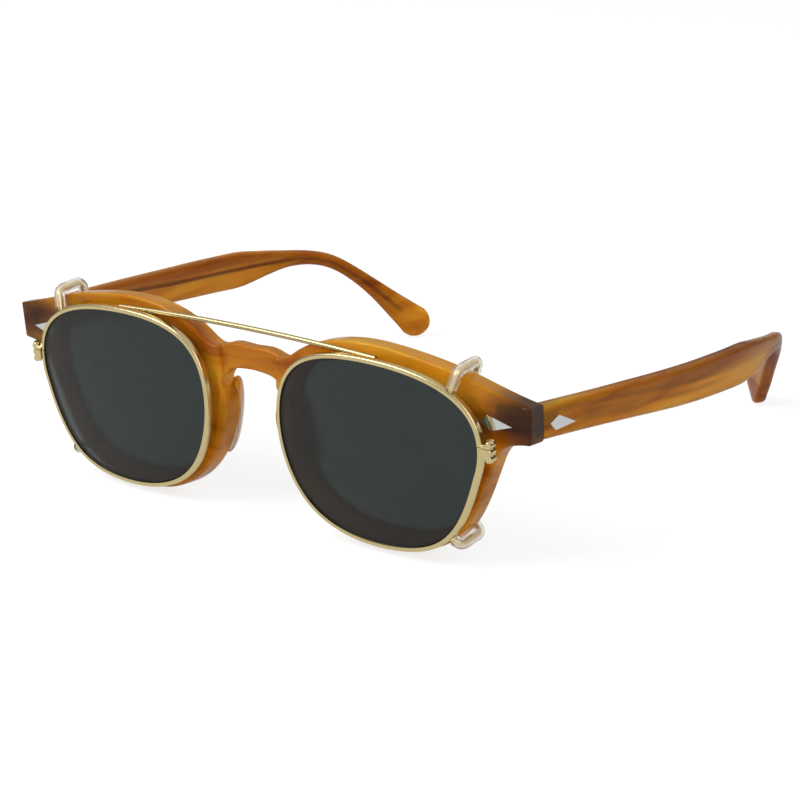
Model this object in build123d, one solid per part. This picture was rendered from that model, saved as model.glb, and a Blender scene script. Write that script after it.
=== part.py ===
"""Acetate spectacle frame that wears a hook-on sun clip.

Every piece is modelled upright: +X to the wearer's left, +Y back along the temples, +Z up, with the front
vertex of the clip lenses at Y = 0 and their centres at Z = 0.  The left half is modelled and mirrored, and
at the end the whole is tipped onto its resting points and written out with the middle of its footprint as
the origin.
"""
from build123d import *
import os
from math import atan2, cos, degrees, radians, sin, tan

# ---------------------------------------------------------------- driving dimensions, millimetres and degrees
# Clip lenses: box size, gap between the two openings, surface radius and wrap of each side
lens_width = 47.0
lens_height = 38.2
lens_gap = 20.6
lens_radius = 190.0
lens_wrap = 2.1
clip_lens_thickness = 1.0

# Clip rims, closing blocks and brow bar
rim_width = 1.2
rim_depth = 1.6
rim_edge_round = 0.35
rim_groove = 0.45
lens_set_back = 0.3
block_length = 2.5
block_depth = 2.2
block_height = 4.4
block_neck = 2.8
block_rise = 5.2
block_edge_round = 0.3
lobe_count = 3
joint_gap = 0.12
clip_screw_radius = 0.5
clip_screw_head_radius = 0.8
clip_screw_head_height = 0.45
clip_screw_head_proud = 0.1
clip_screw_slot_width = 0.25
clip_screw_slot_depth = 0.15
bar_radius = 0.55
bar_arch = 0.95
bar_overlap = 0.75

# Hooks: places are given round the lens, as an angle from the temple side
hook_wire_radius = 0.5
sleeve_radius = 1.15
hook_angle_top = 41.0
hook_angle_bottom = -42.5
hook_bend_radius = 1.6
hook_grip = 2.6
sleeve_start = 1.2

# Acetate front
front_gap = 3.2
front_radius = 700.0
front_pitch = 8.0
front_thickness = 4.6
front_edge_round = 0.6
opening_inset = 1.2
opening_edge_round = 0.5
bridge_top = 16.1
bridge_crown_half_width = 5.4
bridge_crown_drop = 0.05
bridge_notch_inset = 1.7
bridge_notch_height = 15.2
keyhole_top = 10.9
keyhole_half_width = 7.5
pad_root_half_width = 6.6
endpiece_reach = 10.3
endpiece_top = 14.7
endpiece_bottom = 6.7
endpiece_taper = 0.3

# Acetate left round the lenses: angle seen from the lens centre, width outside the clip lens's outline
BROW_WIDTHS = [(142, 3.1), (124, 3.0), (103, 3.2), (80, 3.0), (58, 3.1)]
LOWER_WIDTHS = [
    (4, 1.9), (-10, 1.4), (-27, 1.2), (-45, 1.4), (-68, 2.0), (-90, 2.3),
    (-115, 2.4), (-137, 2.2), (-155, 2.6), (-171, 3.4),
]
# Endpiece edges: distance in from the end, height above the corner there
ENDPIECE_TOP_LINE = [(14.2, 4.1), (9.4, 2.6), (4.6, 1.15), (0.0, 0.0)]
ENDPIECE_BOTTOM_LINE = [(endpiece_taper, 0.0), (3.6, -0.4), (6.2, -1.5)]
# Keyhole above the pad roots: share of its half width, distance below its top
KEYHOLE_LINE = [(1.0, 3.4), (0.83, 1.2), (0.43, 0.2)]

# Demonstration lenses
demo_radius = 190.0
demo_thickness = 1.6
demo_groove = 0.7

# Nose pads
pad_height = 18.0
pad_width = 4.6
pad_reach = 3.4
pad_root_drop = 7.3
pad_splay = 1.2
pad_rise = -2.0
pad_inset = 1.0
pad_lean = 12.0
# Pad sections: shares of the reach, of the splay and of the root's size
PAD_SECTIONS = [(0.0, 0.0, 1.0), (0.6, 0.5, 0.9), (0.9, 0.85, 0.68), (1.0, 1.0, 0.35)]

# Bridge: its front lies behind the rims' front
bridge_recess = 1.3
bridge_recess_top = 7.6
bridge_recess_bottom = 7.0
bridge_recess_over = 2.0
bridge_recess_under = 4.0

# Temples
temple_thickness = 3.5
temple_tip_thickness = 3.0
temple_pitch = 8.0
temple_gap = 0.12
temple_set_in = 0.1
temple_round = 1.15
core_radius = 0.55
core_front_rise = 2.0
temple_flare = 7.0

# Hinges
hinge_inset = 5.3
hinge_stand_off = 0.15
barrel_radius = 1.25
barrel_height = 1.0
barrel_gap = 0.06
barrel_count = 5
screw_radius = 0.6
screw_head_radius = 1.0
screw_head_height = 0.7
screw_slot_width = 0.35
screw_slot_depth = 0.3
leaf_thickness = 1.2
leaf_height = 5.0
leaf_length = 6.0
leaf_clearance = 0.1
web_thickness = 1.0
web_sink = 0.1

# Kite rivets: (along, up) corners of the head, long point away from the lens
kite_front = [(-2.5, 0.2), (-0.7, -1.5), (4.2, 0.0), (-1.2, 1.8)]
kite_front_inset = 8.3
kite_front_rise = 9.8
kite_temple = [(-2.4, 0.1), (-0.7, -1.5), (5.2, -0.7), (0.0, 1.5)]
kite_temple_along = 4.4
kite_temple_rise = -0.4
kite_thickness = 0.7
kite_proud = 0.05
rivet_pin_radius = 0.45
rivet_pin_places = [-1.0, 1.6]
rivet_pin_set_back = 0.05

# Clearances
running_clearance = 0.04
seat_clearance = 0.02
soft_clearance = 0.08

# How far cutters and blanks reach, so that they pass right through what they cut
cut_front = -5.0
cut_back = 14.0
blank_size = 200.0

# ---------------------------------------------------------------- worked-out places
lens_x = (lens_width + lens_gap) / 2
half_width = lens_width / 2
half_height = lens_height / 2
endpiece_half_width = lens_x + half_width + endpiece_reach
pad_x = lens_gap / 2 - pad_inset
lens_centre = (lens_x - lens_radius * sin(radians(lens_wrap)), lens_radius * cos(radians(lens_wrap)), 0)

# The lens outline's shape: shares of the half width (to the temple side) and of the half height
LENS_SHAPE = [
    (0.975, 0.0), (0.953, 0.535), (-0.066, 1.0), (-0.876, 0.702),
    (-0.913, -0.359), (-0.729, -0.704), (0.087, -1.0), (0.537, -0.877),
]


def front_face_y(x):
    """Y of the acetate's front face at a distance x from the middle."""
    return front_gap + x ** 2 / (2 * front_radius)


def front_back_y(x):
    """Y of the acetate's back face at a distance x from the middle."""
    return front_face_y(x) + front_thickness


outline_level = front_face_y(lens_x)
temple_x = endpiece_half_width - temple_set_in - temple_thickness / 2
temple_y = front_back_y(endpiece_half_width) + temple_gap
temple_z = (endpiece_top + endpiece_bottom) / 2 - tan(radians(front_pitch)) * (temple_y - outline_level)
hinge_x = endpiece_half_width - hinge_inset
barrels_height = barrel_count * (barrel_height + barrel_gap) - barrel_gap
hinge_y = (
    front_back_y(hinge_x) + barrel_radius + hinge_stand_off + sin(radians(temple_pitch)) * barrels_height / 2
)
hinge_z = temple_z - tan(radians(temple_pitch)) * (hinge_y - temple_y)
block_x = lens_x + half_width + rim_width
joint_z = block_rise + block_height / 2 - block_height / lobe_count
core_route = [
    (0.3, core_front_rise), (25.0, 1.2), (50.0, 0.3), (72.0, 0.0), (89.0, 0.0), (98.0, 0.0),
    (104.0, 0.0), (109.5, 0.0), (114.5, 0.0), (119.0, 0.0),
]

# Temple stations: distance along the pitched temple, rise above it, shift outward, height there
TEMPLE_STATIONS = [
    (-2.0, -0.1, -0.3, 7.2), (15.0, -0.1, 2.1, 7.3), (31.0, -0.4, 3.7, 7.8), (50.0, -0.8, 5.0, 8.5),
    (64.0, -0.8, 5.2, 8.8), (74.0, -0.7, 4.8, 8.7), (81.5, -0.3, 4.0, 6.6), (89.0, 0.0, 2.8, 4.4),
    (96.0, -0.3, 1.1, 3.5), (102.0, -1.6, -1.5, 3.4), (108.0, -5.1, -4.7, 3.5), (113.0, -9.4, -8.1, 4.3),
    (117.5, -14.0, -11.6, 6.0), (121.5, -18.4, -15.2, 8.2),
]
# The tip is closed by sections that shrink like a quarter turn, stopped just short of a point
tip_length = 4.4
tip_steps = 5
tip_turn = 85.0


# ---------------------------------------------------------------- helpers
def lens_curve():
    """The closed outline of the left clip lens opening, flat in the XZ plane."""
    points = [Vector(lens_x + u * half_width, 0, v * half_height) for u, v in LENS_SHAPE]
    return Edge.make_spline(points, periodic=True)


LENS_CURVE = lens_curve()


def outward(curve, share):
    """The outward normal of a closed curve in the XZ plane that runs anticlockwise."""
    along = curve.tangent_at(share)
    return Vector(along.Z, 0, -along.X)


def lens_loop(distance, samples=30):
    """A closed loop at a constant distance outside the lens outline."""
    points = []
    for step in range(samples):
        share = step / samples
        points.append(LENS_CURVE.position_at(share) + outward(LENS_CURVE, share) * distance)
    return Edge.make_spline(points, periodic=True)


def rim_point(angle, distance):
    """The point at a distance outside the lens outline, seen at an angle from the lens centre."""
    low, high = angle / 360 - 0.1, angle / 360 + 0.1
    for _ in range(20):
        share = (low + high) / 2
        point = LENS_CURVE.position_at(share % 1)
        turn = degrees(atan2(point.Z, point.X - lens_x)) - angle
        if (turn + 180) % 360 < 180:
            low = share
        else:
            high = share
    return LENS_CURVE.position_at(share % 1) + outward(LENS_CURVE, share % 1) * distance


def front_drop(y):
    """How far the front's outline lies below its drawn place at a distance back."""
    return tan(radians(front_pitch)) * (y - outline_level)


def prism(edges, front, back):
    """A flat loop of edges in the XZ plane, pushed from Y = front to Y = back."""
    return extrude(Face(Wire(edges)).moved(Location((0, front, 0))), amount=back - front, dir=(0, 1, 0))


def layer(centre, radius, front_depth, back_depth):
    """The space between two depths behind a sphere's surface."""
    return Pos(*centre) * (Sphere(radius - front_depth) - Sphere(radius - back_depth))


def clip_layer(front_depth, back_depth):
    """The space between two depths behind the clip lens's front surface."""
    return layer(lens_centre, lens_radius, front_depth, back_depth)


def clip_surface_y(point):
    """Y of the clip lens's front surface, carried on to a point's X and Z."""
    across = (point.X - lens_centre[0]) ** 2 + point.Z ** 2
    return lens_centre[1] - (lens_radius ** 2 - across) ** 0.5


def wire_along(points, bend_radii, radius, bore=0.0, skip=0.0):
    """A round wire, or a tube with a bore, along straight runs joined by arcs."""
    path = FilletPolyline(*points, radius=bend_radii)
    if skip:
        path = path.trim(skip / path.length, 1)
    plane = Plane(path.position_at(0), z_dir=path.tangent_at(0))
    body = sweep(Face(Wire.make_circle(radius, plane)), path=path)
    if bore:
        body -= sweep(Face(Wire.make_circle(bore, plane)), path=path)
    return body


def kite_head(place, corners, grow=0.0):
    """A kite-shaped plate in a place whose local Z points out of the surface, from below it to just proud."""
    outline = Polyline(*[(along, up) for along, up in corners], close=True)
    face = Face(Wire(outline.edges()))
    if grow:
        face = offset(face, grow, kind=Kind.INTERSECTION)
    depth = kite_thickness + grow
    return place * Pos(0, 0, -depth) * extrude(face, amount=depth + kite_proud)


def mirrored(part):
    """The right-hand copy of a left-hand piece."""
    return part.mirror(Plane.YZ)


# ---------------------------------------------------------------- acetate front
def front_outline():
    """The edges of the front's outline, left and right."""
    top = [
        Vector(bridge_crown_half_width, 0, bridge_top - bridge_crown_drop),
        Vector(lens_gap / 2 - bridge_notch_inset, 0, bridge_notch_height),
    ]
    top += [rim_point(angle, width) for angle, width in BROW_WIDTHS]
    top += [Vector(endpiece_half_width - inset, 0, endpiece_top + rise) for inset, rise in ENDPIECE_TOP_LINE]
    bottom = [
        Vector(endpiece_half_width - inset, 0, endpiece_bottom + rise) for inset, rise in ENDPIECE_BOTTOM_LINE
    ]
    bottom += [rim_point(angle, width) for angle, width in LOWER_WIDTHS]
    bottom += [Vector(pad_root_half_width, 0, keyhole_top - pad_root_drop)]
    bottom += [Vector(keyhole_half_width * share, 0, keyhole_top - drop) for share, drop in KEYHOLE_LINE]
    other = [Vector(-point.X, 0, point.Z) for point in top]
    other_bottom = [Vector(-point.X, 0, point.Z) for point in bottom]
    upper = Edge.make_spline(other[::-1] + [Vector(0, 0, bridge_top)] + top)
    lower = Edge.make_spline(bottom + [Vector(0, 0, keyhole_top)] + other_bottom[::-1])
    return [
        upper, Edge.make_line(top[-1], bottom[0]),
        lower, Edge.make_line(other_bottom[0], other[-1]),
    ]


def front_blank():
    """The bent acetate slab inside the outline, rounded except at the ends that the temples meet."""
    reach = cut_back
    slab = Cylinder(front_radius, blank_size) - Cylinder(front_radius - front_thickness, blank_size)
    outline = Face(Wire(front_outline())).moved(Location((0, 0, -front_drop(0))))
    direction = Vector(0, reach, front_drop(0) - front_drop(reach))
    body = extrude(outline, amount=direction.length, dir=direction)
    body &= Pos(0, front_gap + front_radius, 0) * slab
    body -= bridge_cutter()
    return fillet([edge for edge in body.edges() if not meets_temple(edge)], front_edge_round)


def meets_temple(edge):
    """Whether an edge of the front is the sharp back edge of an endpiece."""
    middle = edge.center()
    at_end = abs(middle.X) > endpiece_half_width - 1
    return at_end and middle.Y > front_face_y(endpiece_half_width) + front_thickness / 2


def bridge_cutter():
    """What is taken off the bridge's front so that it lies behind the rims."""
    corners = [
        (-bridge_recess_top, bridge_top + bridge_recess_over),
        (-bridge_recess_bottom, keyhole_top - bridge_recess_under),
        (bridge_recess_bottom, keyhole_top - bridge_recess_under),
        (bridge_recess_top, bridge_top + bridge_recess_over),
    ]
    outline = Polyline(*[(x, 0, z) for x, z in corners], close=True)
    return prism(outline.edges(), cut_front, front_gap + bridge_recess)


def demo_place():
    """The centre of the demonstration lens's front sphere, seated in the middle of the acetate."""
    tilt = lens_x / front_radius
    edge_sag = half_width ** 2 / 2 * (1 / demo_radius - 1 / front_radius)
    vertex_y = front_face_y(lens_x) + (front_thickness - demo_thickness - edge_sag) / 2
    return (lens_x - demo_radius * sin(tilt), vertex_y + demo_radius * cos(tilt), 0)


def demo_lens(grow=0.0):
    """The clear lens in the acetate's groove; grow makes the groove's cutter."""
    loop = lens_loop(demo_groove - opening_inset + grow)
    return prism([loop], cut_front, cut_back) & layer(demo_place(), demo_radius, -grow, demo_thickness + grow)


KITE_FRONT_X = endpiece_half_width - kite_front_inset
KITE_FRONT_PLACE = Plane(
    (KITE_FRONT_X, front_face_y(KITE_FRONT_X), kite_front_rise),
    x_dir=(1, KITE_FRONT_X / front_radius, 0), z_dir=(KITE_FRONT_X / front_radius, -1, 0),
)


def front_pins(grow=0.0):
    """The rivet's pins, from the kite head through the acetate to the back of the hinge leaf."""
    pins = None
    depth = hinge_y - leaf_face - front_face_y(KITE_FRONT_X)
    for along in rivet_pin_places:
        pin = Pos(along, 0, -depth / 2) * Cylinder(rivet_pin_radius + grow, depth)
        pin = Location(KITE_FRONT_PLACE) * pin
        pins = pin if pins is None else pins + pin
    return pins


def is_opening(edge):
    """Whether an edge runs right round a lens opening."""
    return edge.is_closed and edge.length > 2 * lens_width


def front_piece():
    """The acetate front with its lens openings, grooves, hinge seats and rivet holes."""
    half = front_blank() & Pos(blank_size / 2, 0, 0) * Box(blank_size, blank_size, blank_size)
    half -= prism([lens_loop(-opening_inset)], cut_front, cut_back)
    half = fillet([edge for edge in half.edges() if is_opening(edge)], opening_edge_round)
    half -= demo_lens(seat_clearance)
    half -= front_leaf_plate(seat_clearance)
    half -= kite_head(Location(KITE_FRONT_PLACE), kite_front, seat_clearance)
    half -= front_pins(seat_clearance)
    return half + mirrored(half)


# ---------------------------------------------------------------- nose pads
def nose_pad():
    """The acetate pad bonded behind the nasal side of the rim."""
    base_y = front_back_y(pad_x + pad_width / 2) + seat_clearance
    sections = []
    for reach, splay, size in PAD_SECTIONS:
        place = Plane(
            (pad_x + splay * pad_splay, base_y + reach * pad_reach, pad_rise),
            x_dir=(-sin(radians(pad_lean)), 0, cos(radians(pad_lean))), z_dir=(0, 1, 0),
        )
        sections.append(Face(Wire.make_ellipse(size ** 0.5 * pad_height / 2, size * pad_width / 2, place)))
    return loft(sections)


# ---------------------------------------------------------------- hinges, in a place pitched like the temple
HINGE_PLACE = Pos(hinge_x, hinge_y, hinge_z) * Rot(-temple_pitch, 0, 0)
barrel_pitch = barrel_height + barrel_gap
leaf_face = barrel_radius + leaf_clearance


def barrel(index, web):
    """One hinge barrel with the web that ties it to its leaf, bored for the screw."""
    middle = (index - (barrel_count - 1) / 2) * barrel_pitch
    body = Cylinder(barrel_radius, barrel_height) + web
    return Pos(0, 0, middle) * (body - Cylinder(screw_radius + running_clearance, barrel_height * 2))


def front_leaf_plate(grow=0.0):
    """The plate that is let into the back of the endpiece; grow makes its seat's cutter."""
    plate = Box(leaf_length + 2 * grow, leaf_thickness + 2 * grow, leaf_height + 2 * grow)
    return HINGE_PLACE * Pos(barrel_radius - leaf_length / 2, -leaf_face - leaf_thickness / 2, 0) * plate


def front_hinge():
    """The front leaf: its plate and the outer and middle barrels."""
    web = Pos(0, -leaf_face / 2, 0) * Box(2 * barrel_radius, leaf_face, barrel_height)
    body = front_leaf_plate()
    for index in range(0, barrel_count, 2):
        body += HINGE_PLACE * barrel(index, web)
    return body - front_pins(seat_clearance)


def temple_leaf_plate(grow=0.0):
    """The plate that is let into the inner face of the temple; grow makes its seat's cutter."""
    plate = Box(leaf_thickness + 2 * grow, leaf_length + 2 * grow, leaf_height + 2 * grow)
    plate = Pos(leaf_face + leaf_thickness / 2, leaf_length / 2, 0) * plate
    return HINGE_PLACE * Rot(0, 0, -temple_flare) * plate


def temple_hinge():
    """The temple leaf: its plate and the two barrels between the front leaf's."""
    web = Box(leaf_face + 2 * web_sink, web_thickness, barrel_height)
    web = Rot(0, 0, -temple_flare) * Pos(leaf_face / 2, web_thickness / 2, 0) * web
    body = temple_leaf_plate()
    for index in range(1, barrel_count, 2):
        body += HINGE_PLACE * barrel(index, web)
    return body - temple_pins(seat_clearance)


def hinge_screw():
    """The slotted screw that is the hinge's pin."""
    top = barrels_height / 2 + seat_clearance
    shank = Pos(0, 0, top - barrels_height / 2) * Cylinder(screw_radius, barrels_height + 2 * seat_clearance)
    head = Pos(0, 0, top + screw_head_height / 2) * Cylinder(screw_head_radius, screw_head_height)
    slot = Box(3 * screw_head_radius, screw_slot_width, 2 * screw_slot_depth)
    slot = Pos(0, 0, top + screw_head_height) * slot
    return HINGE_PLACE * (shank + head - slot)


# ---------------------------------------------------------------- rivets
def front_rivet():
    """The silver kite head in the endpiece, with its pins."""
    return kite_head(Location(KITE_FRONT_PLACE), kite_front) + front_pins()


def kite_temple_place():
    """The place of the temple's kite head, on its outer face."""
    centre, across, up, along = station_axes(kite_temple_along)
    origin = centre + across * (temple_thickness / 2) + up * kite_temple_rise
    return Plane(origin, x_dir=along, z_dir=across)


def temple_pins(grow=0.0):
    """The rivet's pins, from the kite head through the temple to the face of its hinge leaf."""
    pins = None
    depth = temple_x + temple_thickness / 2 - hinge_x - leaf_face - rivet_pin_set_back
    for along in rivet_pin_places:
        pin = Pos(along, 0, -depth / 2) * Cylinder(rivet_pin_radius + grow, depth)
        pin = Location(kite_temple_place()) * pin
        pins = pin if pins is None else pins + pin
    return pins


def temple_rivet():
    """The silver kite head in the temple, with its pins."""
    return kite_head(Location(kite_temple_place()), kite_temple) + temple_pins()


# ---------------------------------------------------------------- temples
def temple_point(along, rise, shift):
    """A point on the pitched temple."""
    pitch = radians(temple_pitch)
    return Vector(
        temple_x + shift,
        temple_y + along * cos(pitch) + rise * sin(pitch),
        temple_z - along * sin(pitch) + rise * cos(pitch),
    )


TEMPLE_LINE = Edge.make_spline([temple_point(*station[:3]) for station in TEMPLE_STATIONS])
TEMPLE_START = temple_point(0, 0, 0)
TEMPLE_FORWARD = temple_point(1, 0, 0) - TEMPLE_START


def along_at(share):
    """How far along the pitched temple a share of its centre line lies."""
    return (TEMPLE_LINE.position_at(share) - TEMPLE_START).dot(TEMPLE_FORWARD)


def share_at(along):
    """The share of the centre line at a distance along the pitched temple."""
    low, high = 0.0, 1.0
    for _ in range(30):
        middle = (low + high) / 2
        if along_at(middle) < along:
            low = middle
        else:
            high = middle
    return low


def temple_height(along):
    """The temple's height at a distance along it: a smooth curve through the stations' heights."""
    places = [station[0] for station in TEMPLE_STATIONS]
    heights = [station[3] for station in TEMPLE_STATIONS]
    last = len(places) - 1
    index = max(0, min(last - 1, sum(place <= along for place in places) - 1))
    step = places[index + 1] - places[index]
    share = (along - places[index]) / step

    def slope(at):
        before, after = max(0, at - 1), min(last, at + 1)
        return (heights[after] - heights[before]) / (places[after] - places[before]) * step
    return (
        heights[index] * (2 * share ** 3 - 3 * share ** 2 + 1)
        + slope(index) * (share ** 3 - 2 * share ** 2 + share)
        + heights[index + 1] * (3 * share ** 2 - 2 * share ** 3)
        + slope(index + 1) * (share ** 3 - share ** 2)
    )


def axes_at(share):
    """The temple's centre, outward, up and along directions at a share of its centre line."""
    along = TEMPLE_LINE.tangent_at(share)
    across = Vector(along.Y, -along.X, 0).normalized()
    return TEMPLE_LINE.position_at(share), across, across.cross(along), along


def station_axes(along):
    """The temple's centre, outward, up and along directions at a distance along it."""
    return axes_at(share_at(along))


def temple_section(centre, across, along, thickness, height, scale=1.0):
    """One rounded section of the temple."""
    outline = RectangleRounded(thickness * scale, height * scale, temple_round * scale)
    return Plane(centre, x_dir=across, z_dir=along) * outline


def temple_body():
    """The acetate temple, lofted at even steps along its centre line and closed by a round tip."""
    steps = 28
    shaft = []
    for step in range(steps + 1):
        centre, across, _, along = axes_at(step / steps)
        thickness = temple_thickness + (temple_tip_thickness - temple_thickness) * step / steps
        shaft.append(temple_section(centre, across, along, thickness, temple_height(along_at(step / steps))))
    centre, across, _, along = axes_at(1.0)
    height = TEMPLE_STATIONS[-1][3]
    tip = []
    for step in range(tip_steps + 1):
        turn = radians(tip_turn * step / tip_steps)
        reach = centre + along * (tip_length * sin(turn))
        tip.append(temple_section(reach, across, along, temple_tip_thickness, height, cos(turn)))
    before_joint = Box(blank_size, blank_size, blank_size)
    before_joint = Pos(temple_x, temple_y - blank_size / 2, temple_z) * before_joint
    return loft(shaft) + loft(tip) - before_joint


def core_points():
    """The core wire's route: above the rivet's pins, then down the middle of the temple."""
    points = []
    for along, rise in core_route:
        centre, _, up, _ = station_axes(along)
        points.append(centre + up * rise)
    return points


def bend_list(points):
    """For each corner of a route, the arc radius that its two runs leave room for."""
    radii = []
    for before, corner, after in zip(points, points[1:], points[2:]):
        turn = radians((corner - before).get_angle(after - corner))
        shorter = min((corner - before).length, (after - corner).length)
        radii.append(0.45 * shorter / tan(turn / 2))
    return radii


def temple_core(grow=0.0):
    """The wire inside the temple; grow makes the channel that it lies in."""
    points = core_points()
    return wire_along(points, bend_list(points), core_radius + grow)


def temple():
    """The acetate temple with its hinge seat, rivet holes and core channel."""
    body = temple_body() - temple_leaf_plate(seat_clearance)
    body -= kite_head(Location(kite_temple_place()), kite_temple, seat_clearance)
    body -= temple_pins(seat_clearance)
    return body - temple_core(seat_clearance)


# ---------------------------------------------------------------- clip: lens, rim, closing block
def clip_lens(grow=0.0):
    """The tinted lens; grow makes the groove's cutter in the rim."""
    loop = lens_loop(rim_groove + grow)
    return prism([loop], cut_front, cut_back) & clip_layer(-grow, clip_lens_thickness + grow)


def rim_zone(grow=0.0):
    """The space inside the rim's outer wall; grow makes the cutter for what sits on the rim."""
    zone = prism([lens_loop(rim_width + grow)], cut_front, cut_back)
    return zone & clip_layer(-lens_set_back - grow, rim_depth - lens_set_back + grow)


def clip_rim():
    """The gold rim with its groove, open at the closing block's joint."""
    ring = rim_zone() - prism([lens_loop(0)], cut_front, cut_back)
    ring = fillet([edge for edge in ring.edges() if edge.length > lens_width], rim_edge_round)
    slit = Pos(block_x, 0, joint_z) * Box(4 * rim_width, 2 * cut_back, joint_gap)
    return ring - clip_lens(seat_clearance) - slit


def block_profile():
    """The closing block seen from the front: a neck that widens to a row of round lobes."""
    lobe = block_height / lobe_count / 2
    end = block_length - lobe
    neck = Polyline(
        (0, -block_neck / 2), (end, -block_height / 2 + lobe / 2), (end, block_height / 2 - lobe / 2),
        (0, block_neck / 2), close=True,
    )
    profile = Face(Wire(neck.edges()))
    for index in range(lobe_count):
        profile += Pos(end, (2 * index + 1 - lobe_count) * lobe) * Circle(lobe)
    return profile


def closing_blocks():
    """The upper and lower halves of the closing block, bored for their screw."""
    start = Vector(block_x + seat_clearance, 0, block_rise)
    middle_y = clip_surface_y(start) + rim_depth / 2 - lens_set_back
    place = Plane((start.X, middle_y + block_depth / 2, start.Z), x_dir=(1, 0, 0), z_dir=(0, -1, 0))
    whole = extrude(place * block_profile(), amount=block_depth)
    outer = [edge for edge in whole.edges() if edge.center().X > block_x + rim_edge_round]
    whole = fillet(outer, block_edge_round)
    whole -= prism([lens_loop(rim_width + seat_clearance)], cut_front, cut_back)
    whole -= clip_screw(running_clearance)
    half = Box(blank_size, blank_size, blank_size)
    offset_z = (joint_gap + blank_size) / 2
    upper = whole & Pos(block_x, 0, joint_z + offset_z) * half
    lower = whole & Pos(block_x, 0, joint_z - offset_z) * half
    return upper, lower


def clip_screw(grow=0.0):
    """The small screw that closes the block, its head on top."""
    lobe = block_height / lobe_count / 2
    centre_x = block_x + block_length - lobe
    centre_y = clip_surface_y(Vector(block_x, 0, block_rise)) + rim_depth / 2 - lens_set_back
    top = block_rise + block_height / 2
    bottom = top - block_height
    shank = Pos(centre_x, centre_y, (top + bottom) / 2) * Cylinder(clip_screw_radius + grow, block_height)
    head = Pos(centre_x, centre_y, top - clip_screw_head_height / 2 + clip_screw_head_proud)
    head *= Cylinder(clip_screw_head_radius + grow, clip_screw_head_height)
    slot = Box(4 * clip_screw_head_radius, clip_screw_slot_width, 2 * clip_screw_slot_depth)
    slot = Pos(centre_x, centre_y, top + clip_screw_head_proud) * slot
    return shank + head if grow else shank + head - slot


def brow_bar():
    """The straight wire that joins the backs of both rims at their tops."""
    seat = Vector(lens_x, 0, half_height + bar_overlap)
    back_y = clip_surface_y(seat) + rim_depth - lens_set_back + bar_radius + seat_clearance
    ends = [Vector(side * lens_x, back_y, seat.Z) for side in (-1, 1)]
    path = ThreePointArc(ends[0], Vector(0, back_y, seat.Z + bar_arch), ends[1])
    plane = Plane(path.position_at(0), z_dir=path.tangent_at(0))
    return sweep(Face(Wire.make_circle(bar_radius, plane)), path=path)


# ---------------------------------------------------------------- hooks
def hook_points(angle, outline):
    """The hook's corners: from the rim's back, out past the acetate's edge, back over it and in behind it."""
    root = rim_point(angle, rim_width / 2)
    edge = outline.closest_points(root)[0]
    over = (edge - root).normalized()
    clear = sleeve_radius + soft_clearance
    front_y = front_face_y(edge.X) - clear
    back_y = front_back_y(edge.X) + clear
    sink = max(-over.Z * front_drop(back_y), -over.Z * front_drop(front_y))
    crest = edge + over * (clear + sink)
    start = Vector(root.X, clip_surface_y(root) + rim_depth / 2 - lens_set_back, root.Z)
    crest_front = Vector(crest.X, front_y, crest.Z)
    crest_back = Vector(crest.X, back_y, crest.Z)
    return [start, crest_front, crest_back, crest_back - over * hook_grip]


def hook_and_sleeve(angle, outline):
    """One gold hook wire, cut to sit on the rim, and the clear sleeve slipped over it."""
    points = hook_points(angle, outline)
    rim = rim_zone(seat_clearance)
    wire = wire_along(points, hook_bend_radius, hook_wire_radius) - rim
    bore = hook_wire_radius + seat_clearance
    sleeve = wire_along(points, hook_bend_radius, sleeve_radius, bore, sleeve_start) - rim
    return wire, sleeve


# ---------------------------------------------------------------- assembly
def left_pieces():
    """Every piece of the left half, by name."""
    upper_outline, _, lower_outline, _ = front_outline()
    block_upper, block_lower = closing_blocks()
    hook_upper, sleeve_upper = hook_and_sleeve(hook_angle_top, upper_outline)
    hook_lower, sleeve_lower = hook_and_sleeve(hook_angle_bottom, lower_outline)
    return {
        "demo_lens": demo_lens(),
        "nose_pad": nose_pad(),
        "front_hinge": front_hinge(),
        "temple_hinge": temple_hinge(),
        "hinge_screw": hinge_screw(),
        "front_rivet": front_rivet(),
        "temple": temple(),
        "temple_core": temple_core(),
        "temple_rivet": temple_rivet(),
        "clip_lens": clip_lens(),
        "clip_rim": clip_rim(),
        "closing_block_upper": block_upper,
        "closing_block_lower": block_lower,
        "closing_screw": clip_screw(),
        "hook_upper": hook_upper,
        "hook_lower": hook_lower,
        "hook_sleeve_upper": sleeve_upper,
        "hook_sleeve_lower": sleeve_lower,
    }


def all_pieces():
    """Every piece of the object, by name, upright."""
    pieces = {"frame_front": front_piece(), "brow_bar": brow_bar()}
    for name, piece in left_pieces().items():
        pieces[name + "_left"] = piece
        pieces[name + "_right"] = mirrored(piece)
    return pieces


def lowest(piece, lean):
    """The height of a piece's lowest point when the object is tipped back by an angle."""
    return (Rot(lean, 0, 0) * piece).bounding_box().min.Z


def resting_lean(pieces):
    """The angle at which the front's rims and the temples' tips both touch the ground."""
    low, high = 0.0, 12.0
    for _ in range(16):
        middle = (low + high) / 2
        if lowest(pieces["temple_left"], middle) < lowest(pieces["frame_front"], middle):
            low = middle
        else:
            high = middle
    return middle


def resting_place(pieces):
    """The move from the upright model to the object at rest, with its origin under the middle of its box."""
    lean = Rot(resting_lean(pieces), 0, 0)
    boxes = [(lean * piece).bounding_box() for piece in pieces.values()]
    front = min(box.min.Y for box in boxes)
    back = max(box.max.Y for box in boxes)
    floor = min(box.min.Z for box in boxes)
    return Pos(0, -(front + back) / 2, -floor) * lean


PIECES = all_pieces()
REST = resting_place(PIECES)


def main():
    """Write each piece at rest as its own STEP file."""
    os.makedirs("parts", exist_ok=True)
    for name, piece in PIECES.items():
        export_step(REST * piece, f"parts/{name}.step")


main()
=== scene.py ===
"""Looks of the acetate spectacle frame with its hook-on sun clip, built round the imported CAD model."""
from math import radians

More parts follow.
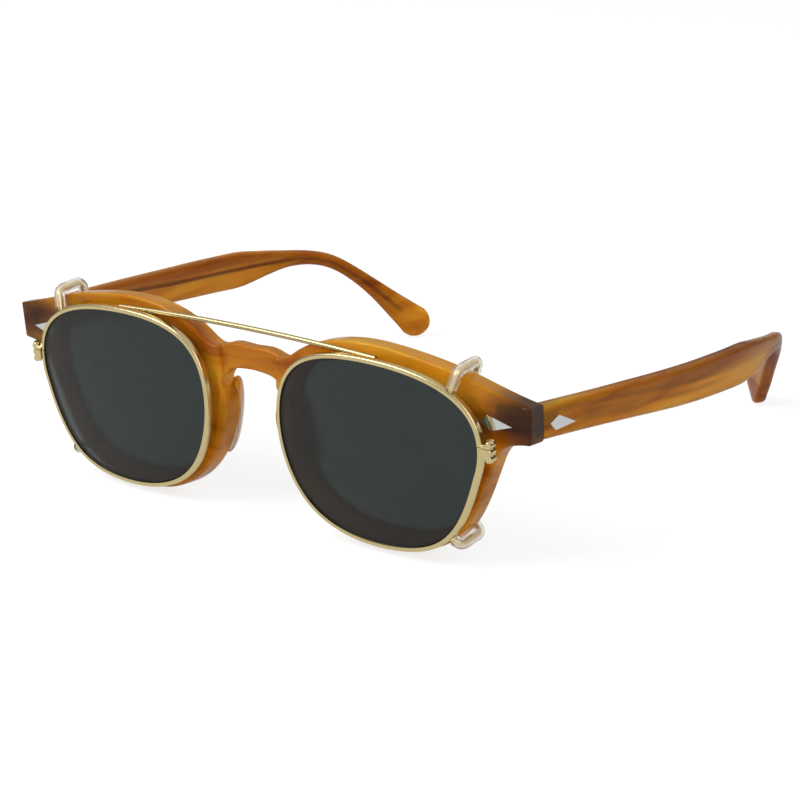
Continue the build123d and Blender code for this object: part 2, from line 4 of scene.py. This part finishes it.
import bpy
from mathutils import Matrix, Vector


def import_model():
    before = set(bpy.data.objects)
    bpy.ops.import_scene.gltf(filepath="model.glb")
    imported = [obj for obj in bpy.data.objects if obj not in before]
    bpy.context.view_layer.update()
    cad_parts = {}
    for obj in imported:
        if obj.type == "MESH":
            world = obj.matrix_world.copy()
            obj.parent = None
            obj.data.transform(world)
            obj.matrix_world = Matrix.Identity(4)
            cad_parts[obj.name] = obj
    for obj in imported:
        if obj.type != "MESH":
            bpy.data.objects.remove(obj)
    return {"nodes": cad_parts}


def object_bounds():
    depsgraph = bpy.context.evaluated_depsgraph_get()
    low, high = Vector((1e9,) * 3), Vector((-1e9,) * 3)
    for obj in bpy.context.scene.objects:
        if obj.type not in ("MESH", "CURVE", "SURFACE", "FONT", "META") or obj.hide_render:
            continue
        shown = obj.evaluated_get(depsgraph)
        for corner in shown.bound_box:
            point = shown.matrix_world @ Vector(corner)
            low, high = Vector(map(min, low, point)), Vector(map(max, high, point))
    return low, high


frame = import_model()
cad_low, cad_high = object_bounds()
NODES = frame["nodes"]

# ---------------------------------------------------------------- camera: metres, degrees and millimetres
CAMERA_PLACE = (0.30535, -0.42484, 0.18107)
CAMERA_TURN = (71.79, 0.83, 36.16)
CAMERA_LENS = 108.0
CAMERA_SENSOR = 36.0

# ---------------------------------------------------------------- light: metres, watts and strengths
# Each lamp: place, size and power
LAMPS = {
    "key_light": ((-0.55, -0.85, 0.9), 0.8, 11.0),
    "fill_light": ((0.9, -0.6, 0.5), 0.7, 3.6),
}
FLOOR_SIZE = 6.0
FLOOR_HEIGHT = -0.0003
# The floor's own grey, what it glows with where it is seen, and the share of the glow that mirrors show
FLOOR_GREY = 0.30
FLOOR_GLOW = 0.79
FLOOR_MIRRORED = 0.62
# The sky's strength as light on the object, and in mirrors near the horizon and high up
SKY_UNSEEN = 0.48
SKY_MIRRORED_LOW = 0.2
SKY_MIRRORED_HIGH = 0.66

# ---------------------------------------------------------------- colours
WHITE = (1.0, 1.0, 1.0)
DARK_AMBER = (0.40, 0.12, 0.003)
AMBER = (0.80, 0.36, 0.012)
LIGHT_AMBER = (0.97, 0.55, 0.034)
AMBER_GLOSS = (1.0, 0.6, 0.2)
AMBER_DEPTH = (0.80, 0.55, 0.04)
# Painted sheen on the pads' edge toward the nose
PAINTED_SHEEN_AMBER = (1.0, 0.92, 0.78)
GOLD_COLOUR = (0.72, 0.59, 0.30)
# A darker copy of the gold for the brow bar: painted shade that tones down its highlight
SHADED_BAR_GOLD_COLOUR = (0.52, 0.42, 0.22)
SILVER_COLOUR = (0.70, 0.72, 0.72)
STEEL_COLOUR = (0.08, 0.08, 0.08)
DARK_LENS_COLOUR = (0.056, 0.0655, 0.0645)
CLEAR_LENS_COLOUR = (0.32, 0.40, 0.40)
SLEEVE_COLOUR = (0.96, 0.93, 0.84)

# How far light scatters in the acetate, in metres, for red, green and blue
AMBER_SCATTER = (0.003, 0.0014, 0.0005)
# The roughness of everything that lets light through, under its smooth coat
CLEAR_ROUGHNESS = 0.28

# What each painted shade multiplies the acetate's colour by, and the rims' painted reflection their colour
# by
# Painted shade of the hinge seen through the endpiece, and a softer painted shade round it
HINGE_DARK = (0.28, 0.28, 1.0)
ENDPIECE_DARK = (0.66, 0.53, 0.6)
# Painted shade above the core wire and over the bend, and painted dark lines and shadow of the wire seen
# through the temple
ABOVE_CORE_DARK = (0.44, 0.29, 0.25)
BEND_DARK = (0.60, 0.44, 0.35)
CORE_DARK = (0.5, 0.4, 0.35)
CORE_START_DARK = (0.60, 0.62, 0.9)
CORE_FAINT_DARK = (0.66, 0.66, 0.9)
# Painted reflection: the rims' walls that face their lens
PAINTED_REFLECTION_DARK = (0.03, 0.03, 0.04)

# ---------------------------------------------------------------- places on the model, metres
HINGE = (0.0675, -0.0575, 0.0332)
ENDPIECE = (0.0675, -0.0575, 0.0357)
LENS_MIDDLE = (0.0335, 0.0225)
# The core wire's height and its place across: each at the temple's start, then its changes along the temple,
# as from, to and by how much
CORE_HEIGHT = (0.0339, [
    (-0.056, -0.008, -0.006), (-0.008, 0.034, -0.0031), (0.034, 0.046, -0.0032), (0.046, 0.062, -0.0142),
])
CORE_ACROSS = (0.0659, [
    (-0.056, -0.024, 0.0036), (-0.024, 0.0, 0.0013), (0.010, 0.034, -0.0025), (0.034, 0.062, -0.0160),
])
# Places along the temple between which its straight part turns into the bend
BEND_START = (0.026, 0.040)


# ---------------------------------------------------------------- node helpers
class Nodes:
    """A short way to write a node tree that ends in an output of one kind."""

    def __init__(self, owner, output="ShaderNodeOutputMaterial"):
        owner.use_nodes = True
        self.owner = owner
        self.tree = owner.node_tree
        self.tree.nodes.clear()
        self.out = self.add(output)

    def add(self, kind, **settings):
        """Adds a node; settings are its properties, or its inputs with a value or another node's output."""
        node = self.tree.nodes.new(kind)
        for key, value in settings.items():
            if hasattr(node, key):
                setattr(node, key, value)
            else:
                self.set(node, key.replace("_", " "), value)
        return node

    def set(self, node, key, value):
        """Sets or links the input of a node that a name or number stands for."""
        socket = node.inputs[key]
        if isinstance(value, bpy.types.NodeSocket):
            self.tree.links.new(value, socket)
        else:
            socket.default_value = value

    def math(self, operation, first, second=0.0):
        """The result of a sum on one or two numbers."""
        node = self.add("ShaderNodeMath", operation=operation)
        self.set(node, 0, first)
        self.set(node, 1, second)
        return node.outputs[0]

    def product(self, first, *others):
        """Several numbers multiplied."""
        for other in others:
            first = self.math("MULTIPLY", first, other)
        return first

    def between(self, factor, low, high, start=0.0, end=1.0):
        """A number that goes from low to high as the factor goes from start to end."""
        node = self.add("ShaderNodeMapRange", Value=factor,
                        From_Min=start, From_Max=end, To_Min=low, To_Max=high)
        return node.outputs["Result"]

    def rise(self, factor, start, end):
        """0 before the start and 1 after the end."""
        return self.between(factor, 0.0, 1.0, start, end)

    def fall(self, factor, start, end):
        """1 before the start and 0 after the end."""
        return self.between(factor, 1.0, 0.0, start, end)

    def parts(self, vector):
        """The three parts of a vector."""
        return self.add("ShaderNodeSeparateXYZ", Vector=vector).outputs[:3]

    def vector(self, x=0.0, y=0.0, z=0.0):
        """A vector of three parts."""
        return self.add("ShaderNodeCombineXYZ", X=x, Y=y, Z=z).outputs[0]

    def mix(self, blend, mask, first, second):
        """The first colour, blended with the second where the mask is 1."""
        node = self.add("ShaderNodeMix", data_type="RGBA", blend_type=blend)
        self.set(node, 0, mask)
        self.set(node, 6, first)
        self.set(node, 7, (*second, 1))
        return node.outputs[2]

    def ramp(self, factor, stops):
        """A colour ramp; stops are (place, colour) pairs."""
        node = self.add("ShaderNodeValToRGB")
        elements = node.color_ramp.elements
        while len(elements) < len(stops):
            elements.new(0.5)
        for element, (place, colour) in zip(elements, stops):
            element.position = place
            element.color = (*colour, 1)
        self.set(node, 0, factor)
        return node.outputs["Color"]

    def noise(self, place, stretch, detail=3.0, roughness=0.5, distortion=0.0):
        """Soft noise, with its scale per metre along each axis."""
        mapping = self.add("ShaderNodeMapping", Scale=stretch, Vector=place)
        node = self.add("ShaderNodeTexNoise", Vector=mapping.outputs["Vector"], Scale=1.0, Detail=detail,
                        Roughness=roughness, Distortion=distortion)
        return node.outputs["Fac"]

    def end(self, **links):
        """Links the output's inputs and gives back what the tree belongs to."""
        for key, value in links.items():
            self.set(self.out, key, value)
        return self.owner


def new_material(name):
    """The node tree of a new material, and the place on the piece at rest, in metres."""
    n = Nodes(bpy.data.materials.new(name))
    return n, n.add("ShaderNodeTexCoord").outputs["Object"]


# ---------------------------------------------------------------- painted shade on the acetate, painted sheen on the pads and painted reflection on the rims
def painted_dark_spot(n, place, colour, centre, spread, start, end, dark):
    """A painted dark spot round a point that both sides share; spread scales the distance along each axis.
    """
    x, y, z = n.parts(place)
    measured = (n.math("ABSOLUTE", x), y, z)
    offset = [
        n.product(n.math("SUBTRACT", at, middle), scale)
        for at, middle, scale in zip(measured, centre, spread)
    ]
    reach = n.add("ShaderNodeVectorMath", operation="LENGTH", Vector=n.vector(*offset))
    return n.mix("MULTIPLY", n.fall(reach.outputs["Value"], start, end), colour, dark)


def hinge_shade(n, place, colour):
    """Painted shade of the hinge leaf seen through the acetate, with a softer painted shade round it."""
    spread = (0.62, 0.5, 1.0)
    colour = painted_dark_spot(n, place, colour, ENDPIECE, spread, 0.004, 0.013, ENDPIECE_DARK)
    return painted_dark_spot(n, place, colour, HINGE, spread, 0.0036, 0.0078, HINGE_DARK)


def along_temple(n, along, start, steps):
    """A number that starts at one value and changes between places along the temple."""
    value = start
    for first, last, change in steps:
        value = n.math("ADD", value, n.between(along, 0.0, change, first, last))
    return value


def line(n, height, middle, half, soft):
    """1 on a line at a height, fading out past its half width."""
    away = n.math("ABSOLUTE", n.math("SUBTRACT", height, middle))
    return n.fall(away, half, half + soft)


def core_shade(n, place, colour):
    """Painted shade of the core wire seen through the temple: on the inner side a thin painted line with
    painted shade above it, and on the outer side a painted soft shadow of its broad start, which runs out in
    a faint line; painted shade over the bend too."""
    x, along, z = n.parts(place)
    inward = n.math("SUBTRACT", along_temple(n, along, *CORE_ACROSS), n.math("ABSOLUTE", x))
    inner = n.rise(inward, -0.0008, 0.0008)
    outer = n.math("SUBTRACT", 1.0, inner)
    height = n.math("SUBTRACT", z, along_temple(n, along, *CORE_HEIGHT))
    shades = [
        (ABOVE_CORE_DARK, n.product(
            n.rise(height, -0.0006, 0.0016), n.fall(along, *BEND_START), n.between(inner, 0.25, 1.0))),
        (BEND_DARK, n.product(
            n.rise(along, *BEND_START), n.fall(along, 0.055, 0.066))),
        (CORE_DARK, n.product(
            line(n, height, 0.0, 0.00025, 0.00035), n.fall(along, 0.028, 0.036), inner)),
        (CORE_START_DARK, n.product(
            line(n, height, -0.0018, 0.0008, 0.0011),
            n.rise(along, -0.048, -0.042), n.fall(along, -0.030, -0.021), outer)),
        (CORE_FAINT_DARK, n.product(
            line(n, height, -0.0017, 0.0002, 0.0007),
            n.rise(along, -0.026, -0.020), n.fall(along, 0.0, 0.010), outer)),
    ]
    for dark, mask in shades:
        colour = n.mix("MULTIPLY", mask, colour, dark)
    return colour


def painted_pad_sheen(n, place, colour):
    """Painted sheen: the pads' edge toward the nose is made paler, strongest low down."""
    x, _, z = n.parts(place)
    near = n.between(n.math("ABSOLUTE", x), 0.95, 0.25, 0.0095, 0.0130)
    return n.mix("MIX", n.product(near, n.fall(z, 0.019, 0.027)), colour, PAINTED_SHEEN_AMBER)


def painted_wall_reflection(n, place, colour):
    """Painted reflection: the rims' walls that face their lens are darkened, as if they mirrored its
    darkness.
    """
    x, _, z = n.parts(place)
    middle = n.product(n.math("SIGN", x), LENS_MIDDLE[0])
    inward = n.vector(x=n.math("SUBTRACT", middle, x), z=n.math("SUBTRACT", LENS_MIDDLE[1], z))
    inward = n.add("ShaderNodeVectorMath", operation="NORMALIZE", Vector=inward)
    facing = n.add("ShaderNodeVectorMath", operation="DOT_PRODUCT", Vector=inward.outputs["Vector"])
    n.set(facing, 1, n.add("ShaderNodeTexCoord").outputs["Normal"])
    return n.mix("MULTIPLY", n.rise(facing.outputs["Value"], 0.15, 0.4), colour, PAINTED_REFLECTION_DARK)


# ---------------------------------------------------------------- materials
def acetate(name, stretch, shade, density=400.0, coat=0.34):
    """Honey acetate: cloudy and translucent, deeper where it is thick, in lighter and darker streaks."""
    n, place = new_material(name)
    clouds = n.noise(place, stretch, detail=2.0, distortion=0.6)
    wisps = n.noise(place, [2.6 * scale for scale in stretch], distortion=1.2)
    streaks = n.math("ADD", n.product(clouds, 0.78), n.product(wisps, 0.22))
    colour = n.ramp(streaks, [(0.34, DARK_AMBER), (0.5, AMBER), (0.64, LIGHT_AMBER)])
    # The shade adds painted shade or painted sheen to the streaked colour
    shader = n.add("ShaderNodeBsdfPrincipled", Base_Color=shade(n, place, colour), Roughness=CLEAR_ROUGHNESS,
                   IOR=1.15, Specular_Tint=(*AMBER_GLOSS, 1), Subsurface_Weight=1.0,
                   Subsurface_Radius=AMBER_SCATTER, Subsurface_Scale=1.0,
                   Transmission_Weight=0.55, Coat_Weight=coat, Coat_Roughness=0.03)
    depth = n.add("ShaderNodeVolumeAbsorption", Color=(*AMBER_DEPTH, 1), Density=density)
    return n.end(Surface=shader.outputs["BSDF"], Volume=depth.outputs["Volume"])


def metal(name, colour, roughness, grain=900.0, shade=None):
    """A metal whose colour and roughness vary a little at the scale of its polishing marks."""
    n, place = new_material(name)
    marks = n.noise(place, (grain, grain, grain), detail=4.0, roughness=0.6)
    tone = n.ramp(marks, [(0.3, [0.94 * part for part in colour]), (0.7, colour)])
    # The optional shade paints a reflection into the colour
    if shade:
        tone = shade(n, place, tone)
    shader = n.add("ShaderNodeBsdfPrincipled", Base_Color=tone, Metallic=1.0,
                   Roughness=n.between(marks, roughness * 0.8, roughness * 1.25))
    return n.end(Surface=shader.outputs["BSDF"])


def plastic(name, colour, ior, transmission=1.0, coat=0.0, scale=40.0):
    """Clear or tinted plastic, whose tint varies a trace."""
    n, place = new_material(name)
    clouds = n.noise(place, (scale, scale, scale), detail=2.0)
    tone = n.ramp(clouds, [(0.3, [0.95 * part for part in colour]), (0.7, colour)])
    shader = n.add("ShaderNodeBsdfPrincipled", Base_Color=tone, Roughness=CLEAR_ROUGHNESS, IOR=ior,
                   Transmission_Weight=transmission, Coat_Weight=coat, Coat_Roughness=0.02)
    return n.end(Surface=shader.outputs["BSDF"])


FRONT_ACETATE = acetate("front_acetate", (22.0, 60.0, 120.0), hinge_shade)
PAD_ACETATE = acetate("pad_acetate", (60.0, 60.0, 40.0), painted_pad_sheen, density=20.0, coat=0.8)
TEMPLE_ACETATE = acetate("temple_acetate", (90.0, 14.0, 150.0), core_shade, coat=0.22)
GOLD = metal("gold_metal", GOLD_COLOUR, 0.2)
RIM_GOLD = metal("gold_rim", GOLD_COLOUR, 0.22, shade=painted_wall_reflection)
# The brow bar's gold is darker: painted shade that tones down its highlight
BAR_GOLD = metal("gold_bar", SHADED_BAR_GOLD_COLOUR, 0.27)
SILVER = metal("silver_rivet", SILVER_COLOUR, 0.14, grain=1200.0)
STEEL = metal("hinge_steel", STEEL_COLOUR, 0.30)
DARK_LENS = plastic("dark_lens", DARK_LENS_COLOUR, 1.15, coat=0.6)
CLEAR_LENS = plastic("clear_lens", CLEAR_LENS_COLOUR, 1.2)
SLEEVE = plastic("clear_sleeve", SLEEVE_COLOUR, 1.3, transmission=0.90, coat=0.4, scale=400.0)

FINISH = {
    "frame_front": FRONT_ACETATE, "temple": TEMPLE_ACETATE, "nose_pad": PAD_ACETATE,
    "brow_bar": BAR_GOLD, "clip_rim": RIM_GOLD, "closing_block_upper": GOLD, "closing_block_lower": GOLD,
    "closing_screw": GOLD, "hook_upper": GOLD, "hook_lower": GOLD,
    "front_rivet": SILVER, "temple_rivet": SILVER,
    "front_hinge": STEEL, "temple_hinge": STEEL, "hinge_screw": STEEL, "temple_core": STEEL,
    "demo_lens": CLEAR_LENS, "clip_lens": DARK_LENS,
    "hook_sleeve_upper": SLEEVE, "hook_sleeve_lower": SLEEVE,
}

for name, node in NODES.items():
    base = name.removesuffix("_left").removesuffix("_right")
    node.data.materials.clear()
    node.data.materials.append(FINISH[base])


# ---------------------------------------------------------------- floor, light and camera
def ray_kinds(n):
    """1 for a ray that comes from the camera or through something clear, and 1 for a mirrored ray."""
    path = n.add("ShaderNodeLightPath")
    seen = n.math("MAXIMUM", path.outputs["Is Camera Ray"], path.outputs["Is Transmission Ray"])
    return seen, path.outputs["Is Glossy Ray"]


def floor():
    """A white floor that keeps the object's soft shadow."""
    bpy.ops.mesh.primitive_plane_add(size=FLOOR_SIZE, location=(0, 0, FLOOR_HEIGHT))
    plane = bpy.context.object
    plane.name = "floor"
    n = Nodes(bpy.data.materials.new("floor_white"))
    seen, mirrored = ray_kinds(n)
    shine = n.math("MAXIMUM", seen, n.product(mirrored, FLOOR_MIRRORED))
    white = n.add("ShaderNodeBsdfDiffuse", Color=(FLOOR_GREY, FLOOR_GREY, FLOOR_GREY, 1))
    glow = n.add("ShaderNodeEmission", Strength=n.between(shine, 0.0, FLOOR_GLOW))
    total = n.add("ShaderNodeAddShader")
    n.set(total, 0, white.outputs[0])
    n.set(total, 1, glow.outputs[0])
    plane.data.materials.append(n.end(Surface=total.outputs[0]))


def world():
    """A studio: white where it is seen, soft light elsewhere, and in mirrors dim near the horizon."""
    made = bpy.data.worlds.new("studio")
    bpy.context.scene.world = made
    n = Nodes(made, "ShaderNodeOutputWorld")
    seen, mirrored = ray_kinds(n)
    height = n.parts(n.add("ShaderNodeTexCoord").outputs["Generated"])[2]
    sky = n.between(height, SKY_MIRRORED_LOW, SKY_MIRRORED_HIGH, 0.1, 0.6)
    unseen = n.between(mirrored, SKY_UNSEEN, sky)
    background = n.add("ShaderNodeBackground", Color=(*WHITE, 1), Strength=n.between(seen, unseen, 1.0))
    n.end(Surface=background.outputs[0])


def lamp(name, place, size, watts):
    """A square soft box aimed at the middle of the object."""
    data = bpy.data.lights.new(name, "AREA")
    data.size = size
    data.energy = watts
    made = bpy.data.objects.new(name, data)
    bpy.context.scene.collection.objects.link(made)
    made.location = place
    direction = made.location - (cad_low + cad_high) / 2
    made.rotation_euler = direction.to_track_quat("Z", "Y").to_euler()


def camera():
    """The camera at the product picture's viewing angle."""
    data = bpy.data.cameras.new("camera")
    data.lens = CAMERA_LENS
    data.sensor_width = CAMERA_SENSOR
    data.clip_start = 0.01
    data.clip_end = 20.0
    made = bpy.data.objects.new("camera", data)
    bpy.context.scene.collection.objects.link(made)
    made.location = CAMERA_PLACE
    made.rotation_euler = [radians(turn) for turn in CAMERA_TURN]
    bpy.context.scene.camera = made


floor()
world()
for name, settings in LAMPS.items():
    lamp(name, *settings)
camera()
bpy.context.scene.view_settings.view_transform = "Standard"
